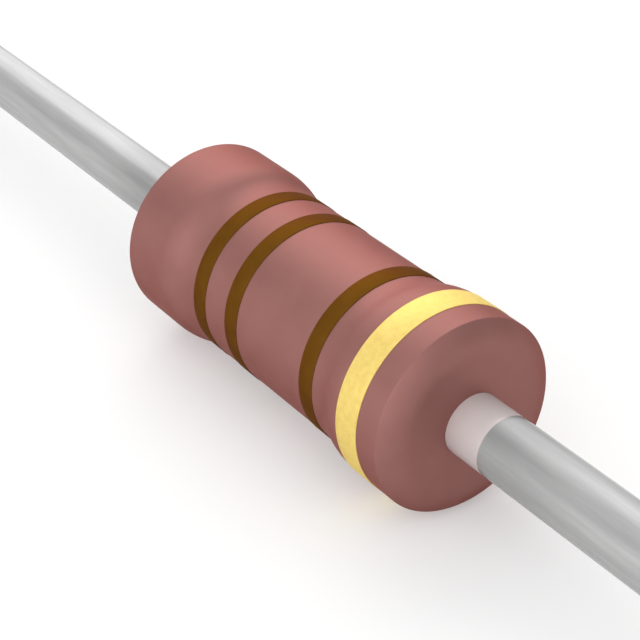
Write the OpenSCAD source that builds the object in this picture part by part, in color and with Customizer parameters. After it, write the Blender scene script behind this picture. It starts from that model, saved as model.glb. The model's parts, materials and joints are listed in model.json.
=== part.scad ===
// Axial resistor: a film on a ceramic rod, pressed end caps, welded leads, a dog-bone coat
// of lacquer and four printed colour bands. The axis lies along X, with the tolerance band
// on the +X side, and the origin is the middle of the body.

/* [Ceramic rod and film] */
// Diameter of the ceramic rod
core_d = 1.8; // [1.2:0.05:3]
// Length of the ceramic rod
core_l = 5; // [4:0.05:9]
// Chamfer on the rod's two edges
core_chamfer = 0.08; // [0.02:0.01:0.15]
// Thickness of the resistive film
film_t = 0.025; // [0.015:0.005:0.05]
// Width of the spiral groove that trims the film
groove_w = 0.12; // [0.06:0.01:0.2]
// Pitch of the spiral groove
groove_pitch = 0.46; // [0.3:0.02:0.8]
// Plain film left between each end cap and the groove
groove_margin = 0.25; // [0.1:0.05:0.6]

/* [End caps] */
// Sheet thickness of the cap's skirt
cap_wall = 0.18; // [0.1:0.01:0.3]
// Thickness of the cap's closed end
cap_base = 0.18; // [0.1:0.01:0.3]
// Length of rod that the cap's skirt covers
cap_skirt = 0.83; // [0.6:0.01:1.2]
// Outer radius where the skirt turns into the closed end
cap_corner = 0.12; // [0.05:0.01:0.2]
// Chamfer inside the cap's mouth, which lets it slide over the rod
mouth_chamfer = 0.05; // [0.02:0.01:0.08]

/* [Leads] */
// Diameter of each lead
lead_d = 0.8; // [0.5:0.05:1]
// Free length of each lead, outside the body
lead_l = 28; // [10:0.5:40]
// How far the weld's foot stands out around the lead, on the cap
weld_flare = 0.15; // [0.05:0.01:0.25]
// Height of the weld's foot along the lead
weld_h = 0.12; // [0.05:0.01:0.2]
// Chamfer on the cut tip of each lead
tip_chamfer = 0.06; // [0:0.01:0.15]

/* [Lacquer coat] */
// Thickness of lacquer over the film, at the waist
waist_coat = 0.22; // [0.1:0.01:0.4]
// Thickness of lacquer over the end caps' skirts
cap_coat = 0.145; // [0.08:0.005:0.3]
// Thickness of lacquer over the caps' closed ends
end_coat = 0.24; // [0.2:0.01:0.4]
// Radius of the rounding from each end towards the side
end_round = 0.455; // [0.4:0.005:0.6]
// Width of that rounding, measured in from the side
end_round_w = 0.37; // [0.25:0.01:0.38]
// Small rounding where it meets the side
rim_round = 0.03; // [0.02:0.01:0.06]
// Length of each shoulder, from the waist to the full diameter over a cap
shoulder_l = 0.63; // [0.4:0.01:1]

/* [Colour bands] */
// Thickness of the printed bands
band_t = 0.008; // [0.006:0.001:0.03]
// Width of the two digit bands
digit_w = 0.266; // [0.15:0.002:0.5]
// Width of the multiplier band
multiplier_w = 0.264; // [0.15:0.002:0.5]
// Width of the tolerance band
tolerance_w = 0.39; // [0.15:0.01:0.5]
// Gap between the left shoulder and the first digit band
first_gap = 0.082; // [0:0.002:0.1]
// Distance from the first digit band to the second, edge to edge at the same side
digit_pitch = 0.726; // [0.6:0.002:0.9]
// Gap between the multiplier band and the right shoulder
multiplier_gap = 0.006; // [0:0.002:0.1]
// Gap between the right shoulder and the tolerance band
tolerance_gap = 0.002; // [0:0.002:0.1]

/* [Hidden] */

round_fn = 128;
wire_fn = 64;

// Radii, from the rod outwards
core_r = core_d / 2;
film_r = core_r + film_t;
cap_r = film_r + cap_wall;
lead_r = lead_d / 2;
waist_r = film_r + waist_coat;
bulge_r = cap_r + cap_coat;

// Places along the axis, from the middle of the body to its end
core_end = core_l / 2;
cap_mouth = core_end - cap_skirt;
cap_end = core_end + cap_base;
body_end = cap_end + end_coat;
lead_tip = body_end + lead_l;

// Each shoulder is two equal arcs that meet over the cap's mouth
shoulder_start = cap_mouth - shoulder_l / 2;
shoulder_end = cap_mouth + shoulder_l / 2;
step_h = bulge_r - waist_r;
mean_r = waist_r + step_h / 2;
shoulder_r = (shoulder_l * shoulder_l + step_h * step_h) / (4 * step_h);

// Each end is a flat disc, a wide rounding around it and a small one at the side, which
// touch each other smoothly
disc_r = bulge_r - end_round_w;
round_centre = body_end - end_round;
rim_r = bulge_r - rim_round;
rim_start = round_centre + sqrt(pow(end_round - rim_round, 2) - pow(rim_r - disc_r, 2));
rim_touch_r = disc_r + (rim_r - disc_r) * end_round / (end_round - rim_round);

// The groove runs between the caps' mouths, less the plain film at each end
groove_half = cap_mouth - groove_margin - groove_w / 2;
groove_turns = 2 * groove_half / groove_pitch;
groove_steps_a_turn = 24;
groove_steps = round(groove_turns * groove_steps_a_turn);
groove_over = 0.1;

ceramic = [0.93, 0.91, 0.86];
carbon = [0.16, 0.14, 0.13];
steel = [0.72, 0.72, 0.70];
tinned = [0.80, 0.80, 0.79];
lacquer = [0.72, 0.49, 0.45];
brown = [0.45, 0.28, 0.09];
gold = [0.93, 0.78, 0.38];

// Turns a profile, drawn as radius and place along the axis, about the X axis
module turned(fn = round_fn) {
    rotate([0, 90, 0])
        rotate_extrude($fn = fn)
            children();
}

// One helix cutter of rectangular section, as wide along the axis as the groove
function helix_ring(i) =
    let (
        angle = 360 * groove_turns * i / groove_steps,
        x = -groove_half + 2 * groove_half * i / groove_steps
    )
    [for (corner = [[-1, -1], [1, -1], [1, 1], [-1, 1]])
        let (r = (corner[0] < 0 ? core_r - groove_over : film_r + groove_over))
        [x + corner[1] * groove_w / 2, r * cos(angle), r * sin(angle)]];

module groove_cutter() {
    points = [for (i = [0:groove_steps]) each helix_ring(i)];
    last = 4 * groove_steps;
    sides = [for (i = [0:groove_steps - 1], k = [0:3])
        let (a = 4 * i + k, b = 4 * i + (k + 1) % 4)
        each [[a, b, b + 4], [a, b + 4, a + 4]]];
    ends = [[3, 2, 1, 0], [last, last + 1, last + 2, last + 3]];
    polyhedron(points = points, faces = concat(sides, ends));
}

// Outside of a cap, as a half section
module cap_section() {
    translate([0, cap_mouth])
        square([cap_r, cap_end - cap_corner - cap_mouth]);
    translate([0, cap_mouth])
        square([cap_r - cap_corner, cap_end - cap_mouth]);
    translate([cap_r - cap_corner, cap_end - cap_corner])
        circle(r = cap_corner, $fn = wire_fn);
}

// A lead with the cone-shaped foot of its weld, as a half section
module lead_section() {
    polygon([
        [0, cap_end],
        [lead_r + weld_flare, cap_end],
        [lead_r, cap_end + weld_h],
        [lead_r, lead_tip - tip_chamfer],
        [lead_r - tip_chamfer, lead_tip],
        [0, lead_tip]
    ]);
}

// One half of the coat's outside, from the middle of the body to its end
module coat_section() {
    square([waist_r, shoulder_start]);
    difference() {
        translate([0, shoulder_start])
            square([mean_r, shoulder_l / 2]);
        translate([waist_r + shoulder_r, shoulder_start])
            circle(r = shoulder_r, $fn = round_fn);
    }
    translate([0, cap_mouth])
        square([mean_r, shoulder_l / 2]);
    intersection() {
        translate([mean_r / 2, cap_mouth])
            square([bulge_r - mean_r / 2, shoulder_l / 2]);
        translate([bulge_r - shoulder_r, shoulder_end])
            circle(r = shoulder_r, $fn = round_fn);
    }
    translate([0, shoulder_end])
        square([bulge_r, rim_start - shoulder_end]);
    translate([rim_r, rim_start])
        circle(r = rim_round, $fn = wire_fn);
    intersection() {
        translate([disc_r, round_centre])
            square([rim_touch_r - disc_r, end_round]);
        translate([disc_r, round_centre])
            circle(r = end_round, $fn = round_fn);
    }
    translate([0, shoulder_end])
        square([disc_r, body_end - shoulder_end]);
}

// A thin ring of print on a cylinder of radius r, from x = start
module band(r, start, width) {
    translate([start, 0, 0])
        turned()
            translate([r, 0])
                square([band_t, width]);
}

module ceramic_core() {
    color(ceramic)
        turned()
            polygon([
                [0, -core_end],
                [core_r - core_chamfer, -core_end],
                [core_r, -core_end + core_chamfer],
                [core_r, core_end - core_chamfer],
                [core_r - core_chamfer, core_end],
                [0, core_end]
            ]);
}

module resistive_film() {
    film_end = core_end - core_chamfer;
    color(carbon)
        difference() {
            turned()
                translate([core_r, -film_end])
                    square([film_t, 2 * film_end]);
            groove_cutter();
        }
}

module end_cap() {
    color(steel)
        turned()
            difference() {
                cap_section();
                square([film_r, core_end]);
                polygon([
                    [film_r - mouth_chamfer, cap_mouth - mouth_chamfer],
                    [film_r + 2 * mouth_chamfer, cap_mouth - mouth_chamfer],
                    [film_r - mouth_chamfer, cap_mouth + 2 * mouth_chamfer]
                ]);
            }
}

module lead() {
    color(tinned)
        turned(wire_fn)
            lead_section();
}

module end_cap_left() {
    mirror([1, 0, 0])
        end_cap();
}

module end_cap_right() {
    end_cap();
}

module lead_left() {
    mirror([1, 0, 0])
        lead();
}

module lead_right() {
    lead();
}

// The coat fills the space around the film, the caps and the welded ends of the leads
module lacquer_coat() {
    color(lacquer)
        turned()
            for (side = [0, 1])
                mirror([0, side])
                    difference() {
                        coat_section();
                        square([film_r, core_end]);
                        cap_section();
                        lead_section();
                    }
}

module first_digit_band() {
    color(brown)
        band(waist_r, -shoulder_start + first_gap, digit_w);
}

module second_digit_band() {
    color(brown)
        band(waist_r, -shoulder_start + first_gap + digit_pitch, digit_w);
}

module multiplier_band() {
    color(brown)
        band(waist_r, shoulder_start - multiplier_gap - multiplier_w, multiplier_w);
}

module tolerance_band() {
    color(gold)
        band(bulge_r, shoulder_end + tolerance_gap, tolerance_w);
}

ceramic_core();
resistive_film();
end_cap_left();
end_cap_right();
lead_left();
lead_right();
lacquer_coat();
first_digit_band();
second_digit_band();
multiplier_band();
tolerance_band();
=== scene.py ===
import json
import math

import bmesh
import bpy
from mathutils import Matrix, Vector


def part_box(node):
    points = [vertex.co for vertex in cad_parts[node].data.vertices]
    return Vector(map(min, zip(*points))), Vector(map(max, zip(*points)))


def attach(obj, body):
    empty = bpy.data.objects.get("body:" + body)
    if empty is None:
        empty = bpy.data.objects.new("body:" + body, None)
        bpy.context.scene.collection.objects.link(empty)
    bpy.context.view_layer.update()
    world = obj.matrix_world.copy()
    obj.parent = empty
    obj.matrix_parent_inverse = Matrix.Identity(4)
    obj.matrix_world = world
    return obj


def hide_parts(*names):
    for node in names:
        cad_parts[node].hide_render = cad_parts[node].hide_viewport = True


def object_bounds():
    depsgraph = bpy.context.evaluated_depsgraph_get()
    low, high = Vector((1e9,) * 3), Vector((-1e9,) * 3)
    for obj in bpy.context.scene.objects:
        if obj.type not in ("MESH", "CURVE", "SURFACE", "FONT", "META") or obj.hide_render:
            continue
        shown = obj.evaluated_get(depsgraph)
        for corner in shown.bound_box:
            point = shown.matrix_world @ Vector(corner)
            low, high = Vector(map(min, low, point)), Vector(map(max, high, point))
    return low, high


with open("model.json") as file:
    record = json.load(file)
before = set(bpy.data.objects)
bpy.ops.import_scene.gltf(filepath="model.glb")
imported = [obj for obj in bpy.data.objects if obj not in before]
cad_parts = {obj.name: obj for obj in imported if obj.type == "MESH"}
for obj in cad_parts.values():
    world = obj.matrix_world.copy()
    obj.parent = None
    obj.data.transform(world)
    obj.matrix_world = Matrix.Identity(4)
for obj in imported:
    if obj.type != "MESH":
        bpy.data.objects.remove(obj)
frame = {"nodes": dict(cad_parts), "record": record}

# Lengths in the dictionaries are millimetres, as on a resistor's drawing
mm = 0.001

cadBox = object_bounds()
print("frame loaded:", len(frame["nodes"]), "nodes")


# Camera: the photograph's viewpoint, close enough for its strong perspective

cameraSetup = {
    "azimuth": 55.19,
    "elevation": 31.08,
    "distance": 22.712,
    "lens": 102.27,
    "sensor": 36,
    "nearest": 0.5,          # what the camera can see, from here
    "farthest": 10000,       # to here
    "bodyRight": 0.0717,     # how far the body sits right of the picture's centre
    "bodyUp": 0.0552,        # and above it
}


def makeCamera(setup):
    a = math.radians(setup["azimuth"])
    e = math.radians(setup["elevation"])
    back = Vector((math.sin(a) * math.cos(e), -math.cos(a) * math.cos(e), math.sin(e)))
    right = Vector((math.cos(a), math.sin(a), 0))
    up = back.cross(right)
    place = back * setup["distance"] - right * setup["bodyRight"] - up * setup["bodyUp"]
    turn = Matrix((right, up, back)).transposed().to_4x4()

    data = bpy.data.cameras.new("photoCamera")
    data.lens = setup["lens"]
    data.sensor_width = setup["sensor"]
    data.clip_start = setup["nearest"] * mm
    data.clip_end = setup["farthest"] * mm
    camera = bpy.data.objects.new("photoCamera", data)
    camera.matrix_world = Matrix.Translation(place * mm) @ turn
    bpy.context.scene.collection.objects.link(camera)
    bpy.context.scene.camera = camera


makeCamera(cameraSetup)
bpy.context.scene.view_settings.view_transform = "Standard"
print("camera placed")


# Sizes that the frame already holds, in millimetres

def boxOf(node):
    low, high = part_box(node)
    return low / mm, high / mm


coatHigh = boxOf("lacquer_coat")[1]
capLow, capHigh = boxOf("end_cap_right")
leadLow, leadHigh = boxOf("lead_right")
filmRadius = boxOf("resistive_film")[1].z
mount = {m["name"]: m for m in frame["record"]["mounts"]}
leadRadius = mount["lead_right"]["dims"]["r_mm"]
printThickness = boxOf("tolerance_band")[1].z - coatHigh.z
waistRadius = boxOf("first_digit_band")[1].z - printThickness


# Mesh helpers. A profile is drawn in the XZ plane with x along the leads and z as the
# radius, then spun round the leads' axis.

joinDistance = 0.0005        # points nearer than this become one


def lineTo(bm, vert, x, r):
    made = bmesh.ops.extrude_vert_indiv(bm, verts=[vert])
    end = made["verts"][0]
    end.co = Vector((x, 0, r)) * mm
    return end


def arcTo(bm, vert, x, r, angle, steps):
    made = bmesh.ops.spin(
        bm, geom=[vert], cent=Vector((x, 0, r)) * mm, axis=(0, 1, 0), angle=angle, steps=steps
    )
    return [g for g in made["geom_last"] if isinstance(g, bmesh.types.BMVert)][0]


def turnProfile(bm, steps):
    bmesh.ops.spin(
        bm, geom=bm.verts[:] + bm.edges[:], cent=(0, 0, 0), axis=(1, 0, 0),
        angle=2 * math.pi, steps=steps, use_merge=True,
    )
    bmesh.ops.remove_doubles(bm, verts=bm.verts[:], dist=joinDistance * mm)
    bmesh.ops.recalc_face_normals(bm, faces=bm.faces[:])


def finishPiece(bm, name, node, material, sharpAngle=30):
    for face in bm.faces:
        face.smooth = True
    for edge in bm.edges:
        if len(edge.link_faces) == 2 and edge.calc_face_angle() > math.radians(sharpAngle):
            edge.smooth = False
    mesh = bpy.data.meshes.new(name)
    bm.to_mesh(mesh)
    bm.free()
    mesh.materials.append(material)
    piece = bpy.data.objects.new(name, mesh)
    bpy.context.scene.collection.objects.link(piece)
    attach(piece, "root")
    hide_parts(node)
    print("made", name, "with", len(mesh.polygons), "faces")


# Material helpers

def newMaterial(name):
    material = bpy.data.materials.new(name)
    material.use_nodes = True
    tree = material.node_tree
    return material, tree, tree.nodes["Principled BSDF"]


def addNode(tree, kind, **values):
    node = tree.nodes.new(kind)
    for key, value in values.items():
        setattr(node, key, value)
    return node


# Unevenness: a soft cloud in millimetres on the object, stretched along the leads if asked.
# It puts out the cloud as a mask and a normal for the surface.
def makeUnevenness():
    group = bpy.data.node_groups.new("unevenness", "ShaderNodeTree")
    face = group.interface
    for name, kind, default in (
        ("Size", "NodeSocketFloat", 0.3),
        ("Stretch", "NodeSocketFloat", 1.0),
        ("Detail", "NodeSocketFloat", 2.0),
        ("Height", "NodeSocketFloat", 0.001),
    ):
        socket = face.new_socket(name, in_out="INPUT", socket_type=kind)
        socket.default_value = default
    face.new_socket("Mask", in_out="OUTPUT", socket_type="NodeSocketFloat")
    face.new_socket("Normal", in_out="OUTPUT", socket_type="NodeSocketVector")

    inputs = addNode(group, "NodeGroupInput")
    outputs = addNode(group, "NodeGroupOutput")
    coords = addNode(group, "ShaderNodeTexCoord")
    perSize = addNode(group, "ShaderNodeMath", operation="DIVIDE")
    perSize.inputs[0].default_value = 1 / mm
    along = addNode(group, "ShaderNodeMath", operation="DIVIDE")
    scales = addNode(group, "ShaderNodeCombineXYZ")
    scaled = addNode(group, "ShaderNodeVectorMath", operation="MULTIPLY")
    cloud = addNode(group, "ShaderNodeTexNoise")
    cloud.inputs["Scale"].default_value = 1
    metres = addNode(group, "ShaderNodeMath", operation="MULTIPLY")
    metres.inputs[1].default_value = mm
    bump = addNode(group, "ShaderNodeBump")
    bump.inputs["Strength"].default_value = 1

    link = group.links.new
    link(inputs.outputs["Size"], perSize.inputs[1])
    link(perSize.outputs[0], along.inputs[0])
    link(inputs.outputs["Stretch"], along.inputs[1])
    link(along.outputs[0], scales.inputs["X"])
    link(perSize.outputs[0], scales.inputs["Y"])
    link(perSize.outputs[0], scales.inputs["Z"])
    link(coords.outputs["Object"], scaled.inputs[0])
    link(scales.outputs[0], scaled.inputs[1])
    link(scaled.outputs[0], cloud.inputs["Vector"])
    link(inputs.outputs["Detail"], cloud.inputs["Detail"])
    link(inputs.outputs["Height"], metres.inputs[0])
    link(metres.outputs[0], bump.inputs["Distance"])
    link(cloud.outputs[0], bump.inputs["Height"])
    link(cloud.outputs[0], outputs.inputs["Mask"])
    link(bump.outputs[0], outputs.inputs["Normal"])
    return group


unevenness = makeUnevenness()


def addUnevenness(tree, size, stretch, detail, height):
    node = addNode(tree, "ShaderNodeGroup", node_tree=unevenness)
    node.inputs["Size"].default_value = size
    node.inputs["Stretch"].default_value = stretch
    node.inputs["Detail"].default_value = detail
    node.inputs["Height"].default_value = height
    return node


cloudSpan = (0.3, 0.7)       # below the first the mask counts as none, above the second as full


def mixColours(tree, mask, low, high):
    ramp = addNode(tree, "ShaderNodeValToRGB")
    for stop, position, colour in zip(ramp.color_ramp.elements, cloudSpan, (low, high)):
        stop.position = position
        stop.color = (*colour, 1)
    tree.links.new(mask, ramp.inputs[0])
    return ramp.outputs[0]


def spreadValues(tree, mask, low, high):
    spread = addNode(tree, "ShaderNodeMapRange")
    spread.inputs["From Min"].default_value = cloudSpan[0]
    spread.inputs["From Max"].default_value = cloudSpan[1]
    spread.inputs["To Min"].default_value = low
    spread.inputs["To Max"].default_value = high
    tree.links.new(mask, spread.inputs["Value"])
    return spread.outputs[0]


# One recipe for every finish: two near shades and two near roughnesses, clouded, with a
# slight unevenness of the surface
def makeFinish(name, look):
    material, tree, shader = newMaterial(name)
    cloud = addUnevenness(tree, look["size"], look["stretch"], look["detail"], look["height"])
    mask = cloud.outputs["Mask"]
    link = tree.links.new
    link(mixColours(tree, mask, look["dark"], look["light"]), shader.inputs["Base Color"])
    link(spreadValues(tree, mask, look["smooth"], look["rough"]), shader.inputs["Roughness"])
    link(cloud.outputs["Normal"], shader.inputs["Normal"])
    shader.inputs["Metallic"].default_value = look["metallic"]
    shader.inputs["Specular IOR Level"].default_value = look["specular"]
    shader.inputs["Specular Tint"].default_value = (*look["edge"], 1)
    return material


# Lacquer coat

coat = {
    "endRound": 0.455,       # from each end's flat disc towards the side
    "endRoundWidth": 0.37,
    "rimRound": 0.03,        # small rounding where it meets the side
    "shoulderLength": 0.63,
    "capCorner": 0.12,
    "weldHeight": 0.12,
    "around": 192,
    "arcSteps": 10,
    "finish": {
        "dark": (0.314, 0.143, 0.128), "light": (0.335, 0.156, 0.141),
        "smooth": 0.47, "rough": 0.52, "metallic": 0.66, "specular": 0.03, "edge": (0.45, 0.22, 0.2),
        "size": 0.35, "stretch": 1, "detail": 2, "height": 0.0006,
    },
}


def makeCoat(setup):
    bodyEnd, bulgeRadius = coatHigh.x, coatHigh.z
    step = bulgeRadius - waistRadius
    half = setup["shoulderLength"] / 2
    shoulderRadius = (4 * half * half + step * step) / (4 * step)
    shoulderAngle = math.asin(half / shoulderRadius)
    discRadius = bulgeRadius - setup["endRoundWidth"]
    roundCentre = bodyEnd - setup["endRound"]
    rimRadius = bulgeRadius - setup["rimRound"]
    between = setup["endRound"] - setup["rimRound"]
    rimStart = roundCentre + math.sqrt(between ** 2 - (rimRadius - discRadius) ** 2)
    rimAngle = math.acos((rimRadius - discRadius) / between)
    steps = setup["arcSteps"]
    corner = setup["capCorner"]

    bm = bmesh.new()
    outer = bm.verts.new(Vector((0, 0, waistRadius)) * mm)
    v = lineTo(bm, outer, capLow.x - half, waistRadius)
    v = arcTo(bm, v, capLow.x - half, waistRadius + shoulderRadius, -shoulderAngle, steps)
    v = arcTo(bm, v, capLow.x + half, bulgeRadius - shoulderRadius, shoulderAngle, steps)
    v = lineTo(bm, v, rimStart, bulgeRadius)
    v = arcTo(bm, v, rimStart, rimRadius, rimAngle, steps)
    v = arcTo(bm, v, roundCentre, discRadius, math.pi / 2 - rimAngle, steps)
    v = lineTo(bm, v, bodyEnd, leadRadius)
    v = lineTo(bm, v, capHigh.x + setup["weldHeight"], leadRadius)
    v = lineTo(bm, v, capHigh.x, leadHigh.z)
    v = lineTo(bm, v, capHigh.x, capHigh.z - corner)
    v = arcTo(bm, v, capHigh.x - corner, capHigh.z - corner, -math.pi / 2, steps)
    v = lineTo(bm, v, capLow.x, capHigh.z)
    v = lineTo(bm, v, capLow.x, filmRadius)
    v = lineTo(bm, v, 0, filmRadius)
    bmesh.ops.mirror(bm, geom=bm.verts[:] + bm.edges[:], axis="X", merge_dist=joinDistance * mm)
    turnProfile(bm, setup["around"])
    lacquer = makeFinish("lacquer", setup["finish"])
    finishPiece(bm, "lacquerCoat", "lacquer_coat", lacquer)


makeCoat(coat)


# Printed bands

bands = {
    "around": 192,
    "edgeRound": 0.004,
    "edgeSteps": 3,
    "brown": {
        "dark": (0.136, 0.058, 0.008), "light": (0.157, 0.068, 0.0094),
        "smooth": 0.5, "rough": 0.56, "metallic": 0.6, "specular": 0.02, "edge": (0.3, 0.15, 0.02),
        "size": 0.2, "stretch": 1, "detail": 3, "height": 0.0008,
    },
    "gold": {
        "dark": (0.8, 0.59, 0.164), "light": (0.88, 0.68, 0.21),
        "smooth": 0.42, "rough": 0.52, "metallic": 0.35, "specular": 0.1, "edge": (0.8, 0.6, 0.25),
        "size": 0.08, "stretch": 1, "detail": 3, "height": 0.0006,
    },
}


def makeBand(name, node, material, setup):
    low, high = boxOf(node)
    outer, inner = high.z, high.z - printThickness
    bm = bmesh.new()
    start = bm.verts.new(Vector((low.x, 0, inner)) * mm)
    left = lineTo(bm, start, low.x, outer)
    right = lineTo(bm, left, high.x, outer)
    end = lineTo(bm, right, high.x, inner)
    bm.edges.new((end, start))
    bmesh.ops.bevel(
        bm, geom=[left, right], offset=setup["edgeRound"] * mm, offset_type="OFFSET",
        segments=setup["edgeSteps"], profile=0.5, affect="VERTICES", material=-1,
    )
    turnProfile(bm, setup["around"])
    finishPiece(bm, name, node, material)


brownPrint = makeFinish("brownPrint", bands["brown"])
goldPrint = makeFinish("goldPrint", bands["gold"])
makeBand("firstDigitBand", "first_digit_band", brownPrint, bands)
makeBand("secondDigitBand", "second_digit_band", brownPrint, bands)
makeBand("multiplierBand", "multiplier_band", brownPrint, bands)
makeBand("toleranceBand", "tolerance_band", goldPrint, bands)


# Leads: straight tinned wire, with the weld's foot at the root and a plain cut tip

leads = {
    "weldHeight": coat["weldHeight"],
    "tipChamfer": 0.06,
    "around": 128,
    "finish": {
        "dark": (0.38, 0.38, 0.38), "light": (0.455, 0.455, 0.452),
        "smooth": 0.11, "rough": 0.18, "metallic": 0.26, "specular": 0.2, "edge": (0.6, 0.6, 0.6),
        "size": 0.09, "stretch": 14, "detail": 3, "height": 0.0008,
    },
    # a pale collar of painted reflection of the body's end on the wire next to the body, and painted
    # shade past it, darker towards the body, each up to a distance from the middle of the body
    "film": {
        "end": 3.48, "soft": 0.012, "colour": (0.63, 0.572, 0.564), "metallic": 0.1,
        "paintedShadeLevel": 0.8, "paintedShadeEnd": 5.6,
    },
}


def makeLead(name, node, side, material, setup):
    chamfer = setup["tipChamfer"]
    bm = bmesh.new()
    v = bm.verts.new(Vector((leadLow.x, 0, 0)) * mm)
    v = lineTo(bm, v, leadLow.x, leadHigh.z)
    v = lineTo(bm, v, leadLow.x + setup["weldHeight"], leadRadius)
    v = lineTo(bm, v, leadHigh.x - chamfer, leadRadius)
    v = lineTo(bm, v, leadHigh.x, leadRadius - chamfer)
    v = lineTo(bm, v, leadHigh.x, 0)
    bmesh.ops.scale(bm, verts=bm.verts[:], vec=(side, 1, 1))
    turnProfile(bm, setup["around"])
    finishPiece(bm, name, node, material)


# Paints onto the wire a pale collar of painted reflection of the body's end, then painted shade that
# fades out further along
def paintWireReflectionAndShade(material, wire, film):
    tree = material.node_tree
    shader = tree.nodes["Principled BSDF"]
    link = tree.links.new
    coords = addNode(tree, "ShaderNodeTexCoord")
    parts = addNode(tree, "ShaderNodeSeparateXYZ")
    outwards = addNode(tree, "ShaderNodeMath", operation="ABSOLUTE")
    # painted reflection: the collar's pale colour and low metallic end here, with a soft edge
    pastPaintedReflection = addNode(tree, "ShaderNodeMapRange", interpolation_type="SMOOTHSTEP")
    pastPaintedReflection.inputs["From Min"].default_value = (film["end"] - film["soft"]) * mm
    pastPaintedReflection.inputs["From Max"].default_value = (film["end"] + film["soft"]) * mm
    # painted shade: the wire's colour darkened next to the collar, fading back to its own colour
    # further out
    paintedShadeRamp = addNode(tree, "ShaderNodeMapRange", interpolation_type="SMOOTHERSTEP")
    paintedShadeRamp.inputs["From Min"].default_value = film["end"] * mm
    paintedShadeRamp.inputs["From Max"].default_value = film["paintedShadeEnd"] * mm
    paintedShadeRamp.inputs["To Min"].default_value = film["paintedShadeLevel"]
    paintedShadeColour = addNode(tree, "ShaderNodeVectorMath", operation="SCALE")
    paintedReflectionMix = addNode(tree, "ShaderNodeMix", data_type="RGBA")      # colours in at 6 and 7, out at 2
    paintedReflectionMix.inputs[6].default_value = (*film["colour"], 1)
    metal = addNode(tree, "ShaderNodeMapRange")
    metal.inputs["To Min"].default_value = film["metallic"]
    metal.inputs["To Max"].default_value = wire["metallic"]
    wireColour = shader.inputs["Base Color"].links[0].from_socket
    link(coords.outputs["Object"], parts.inputs[0])
    link(parts.outputs["X"], outwards.inputs[0])
    link(outwards.outputs[0], pastPaintedReflection.inputs["Value"])
    link(outwards.outputs[0], paintedShadeRamp.inputs["Value"])
    link(wireColour, paintedShadeColour.inputs[0])
    link(paintedShadeRamp.outputs[0], paintedShadeColour.inputs["Scale"])
    link(pastPaintedReflection.outputs[0], paintedReflectionMix.inputs["Factor"])
    link(paintedShadeColour.outputs[0], paintedReflectionMix.inputs[7])
    link(paintedReflectionMix.outputs[2], shader.inputs["Base Color"])
    link(pastPaintedReflection.outputs[0], metal.inputs["Value"])
    link(metal.outputs[0], shader.inputs["Metallic"])


tinnedWire = makeFinish("tinnedWire", leads["finish"])
# the wire gets its painted reflection and painted shade next to the body
paintWireReflectionAndShade(tinnedWire, leads["finish"], leads["film"])
makeLead("leadLeft", "lead_left", -1, tinnedWire, leads)
makeLead("leadRight", "lead_right", 1, tinnedWire, leads)


# The pieces inside the coat keep their own solids and get their finishes

inside = {
    "ceramic": {
        "dark": (0.84, 0.81, 0.74), "light": (0.9, 0.88, 0.82),
        "smooth": 0.75, "rough": 0.9, "metallic": 0, "specular": 0.3, "edge": (1, 1, 1),
        "size": 0.1, "stretch": 1, "detail": 6, "height": 0.003,
    },
    "film": {
        "dark": (0.035, 0.032, 0.03), "light": (0.06, 0.055, 0.05),
        "smooth": 0.4, "rough": 0.55, "metallic": 0.2, "specular": 0.5, "edge": (1, 1, 1),
        "size": 0.06, "stretch": 1, "detail": 4, "height": 0.0006,
    },
    "capSteel": {
        "dark": (0.56, 0.56, 0.54), "light": (0.66, 0.66, 0.64),
        "smooth": 0.2, "rough": 0.34, "metallic": 1, "specular": 0.5, "edge": (1, 1, 1),
        "size": 0.1, "stretch": 6, "detail": 4, "height": 0.001,
    },
}


def dressNode(node, material):
    target = frame["nodes"][node]
    target.data.materials.clear()
    target.data.materials.append(material)


capSteel = makeFinish("capSteel", inside["capSteel"])
dressNode("ceramic_core", makeFinish("ceramic", inside["ceramic"]))
dressNode("resistive_film", makeFinish("carbonFilm", inside["film"]))
dressNode("end_cap_left", capSteel)
dressNode("end_cap_right", capSteel)
print("inner pieces dressed")


# Studio: a pale floor under the body and a soft light tent

studio = {
    "floorSize": 2.0,        # metres
    "floorColour": (0.7, 0.7, 0.7),
    "floorLift": 0.3,        # added for the camera and for reflections, up to white
    "tent": 0.52,            # level of the light tent all round
    "horizon": {"low": 6, "high": 16, "level": 0.45},        # degrees, and what it adds there
    "softboxes": (           # degrees, and the level that each adds
        {"azimuth": 150, "elevation": 30, "spread": 21.5, "edge": 16.5, "level": 1.95},
        {"azimuth": 165, "elevation": 42, "spread": 21.5, "edge": 16.5, "level": 0.75},
        {"azimuth": 270, "elevation": 10, "spread": 30, "edge": 20, "level": 1.0},
        {"azimuth": 325, "elevation": 40, "spread": 30, "edge": 20, "level": 0.65},
        {"azimuth": 260, "elevation": 55, "spread": 27.5, "edge": 17.5, "level": 0.35},
    ),
}


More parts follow.
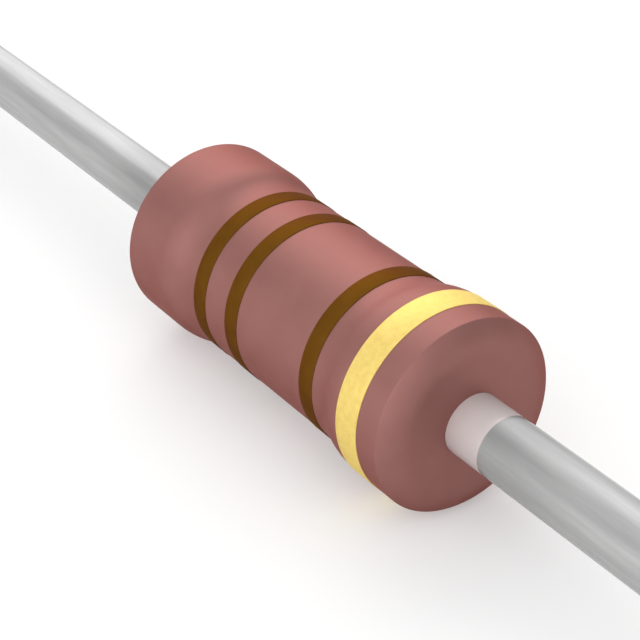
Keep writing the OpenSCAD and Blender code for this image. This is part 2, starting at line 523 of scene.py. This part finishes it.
def makeFloor(setup):
    bm = bmesh.new()
    bmesh.ops.create_grid(bm, x_segments=1, y_segments=1, size=setup["floorSize"] / 2)
    bmesh.ops.translate(bm, verts=bm.verts[:], vec=(0, 0, cadBox[0].z))
    mesh = bpy.data.meshes.new("floor")
    bm.to_mesh(mesh)
    bm.free()
    floor = bpy.data.objects.new("floor", mesh)
    bpy.context.scene.collection.objects.link(floor)

    material, tree, shader = newMaterial("paleFloor")
    shader.inputs["Base Color"].default_value = (*setup["floorColour"], 1)
    shader.inputs["Roughness"].default_value = 1
    shader.inputs["Specular IOR Level"].default_value = 0
    shader.inputs["Emission Color"].default_value = (1, 1, 1, 1)
    rays = addNode(tree, "ShaderNodeLightPath")
    mirrored = addNode(tree, "ShaderNodeMath", operation="MAXIMUM")
    seen = addNode(tree, "ShaderNodeMath", operation="MAXIMUM")
    lift = addNode(tree, "ShaderNodeMath", operation="MULTIPLY")
    lift.inputs[1].default_value = setup["floorLift"]
    tree.links.new(rays.outputs["Is Camera Ray"], mirrored.inputs[0])
    tree.links.new(rays.outputs["Is Glossy Ray"], mirrored.inputs[1])
    tree.links.new(mirrored.outputs[0], seen.inputs[0])
    tree.links.new(rays.outputs["Is Transmission Ray"], seen.inputs[1])
    tree.links.new(seen.outputs[0], lift.inputs[0])
    tree.links.new(lift.outputs[0], shader.inputs["Emission Strength"])
    mesh.materials.append(material)


def directionOf(azimuth, elevation):
    a, e = math.radians(azimuth), math.radians(elevation)
    return Vector((math.cos(a) * math.cos(e), math.sin(a) * math.cos(e), math.sin(e)))


# Adds one softbox with a faded edge to the tent
def addSoftbox(tree, ray, level, patch):
    facing = addNode(tree, "ShaderNodeVectorMath", operation="DOT_PRODUCT")
    facing.inputs[1].default_value = directionOf(patch["azimuth"], patch["elevation"])
    edge = addNode(tree, "ShaderNodeMapRange", interpolation_type="SMOOTHSTEP")
    edge.inputs["From Min"].default_value = math.cos(math.radians(patch["spread"] + patch["edge"]))
    edge.inputs["From Max"].default_value = math.cos(math.radians(patch["spread"] - patch["edge"]))
    edge.inputs["To Min"].default_value = 0
    edge.inputs["To Max"].default_value = patch["level"]
    total = addNode(tree, "ShaderNodeMath", operation="ADD")
    tree.links.new(ray, facing.inputs[0])
    tree.links.new(facing.outputs["Value"], edge.inputs["Value"])
    tree.links.new(edge.outputs[0], total.inputs[0])
    tree.links.new(level, total.inputs[1])
    return total.outputs[0]


# The tent's own level, paler at the horizon, where it meets the floor
def addTentLevel(tree, ray, tent, horizon):
    parts = addNode(tree, "ShaderNodeSeparateXYZ")
    level = addNode(tree, "ShaderNodeMapRange", interpolation_type="SMOOTHSTEP")
    level.inputs["From Min"].default_value = math.sin(math.radians(horizon["low"]))
    level.inputs["From Max"].default_value = math.sin(math.radians(horizon["high"]))
    level.inputs["To Min"].default_value = tent + horizon["level"]
    level.inputs["To Max"].default_value = tent
    tree.links.new(ray, parts.inputs[0])
    tree.links.new(parts.outputs["Z"], level.inputs["Value"])
    return level.outputs[0]


def makeTent(setup):
    world = bpy.data.worlds.new("lightTent")
    world.use_nodes = True
    tree = world.node_tree
    background = tree.nodes["Background"]
    ray = addNode(tree, "ShaderNodeTexCoord").outputs["Generated"]
    level = addTentLevel(tree, ray, setup["tent"], setup["horizon"])
    for patch in setup["softboxes"]:
        level = addSoftbox(tree, ray, level, patch)
    tree.links.new(level, background.inputs["Strength"])
    background.inputs["Color"].default_value = (1, 1, 1, 1)
    bpy.context.scene.world = world


makeFloor(studio)
makeTent(studio)
print("studio set up")
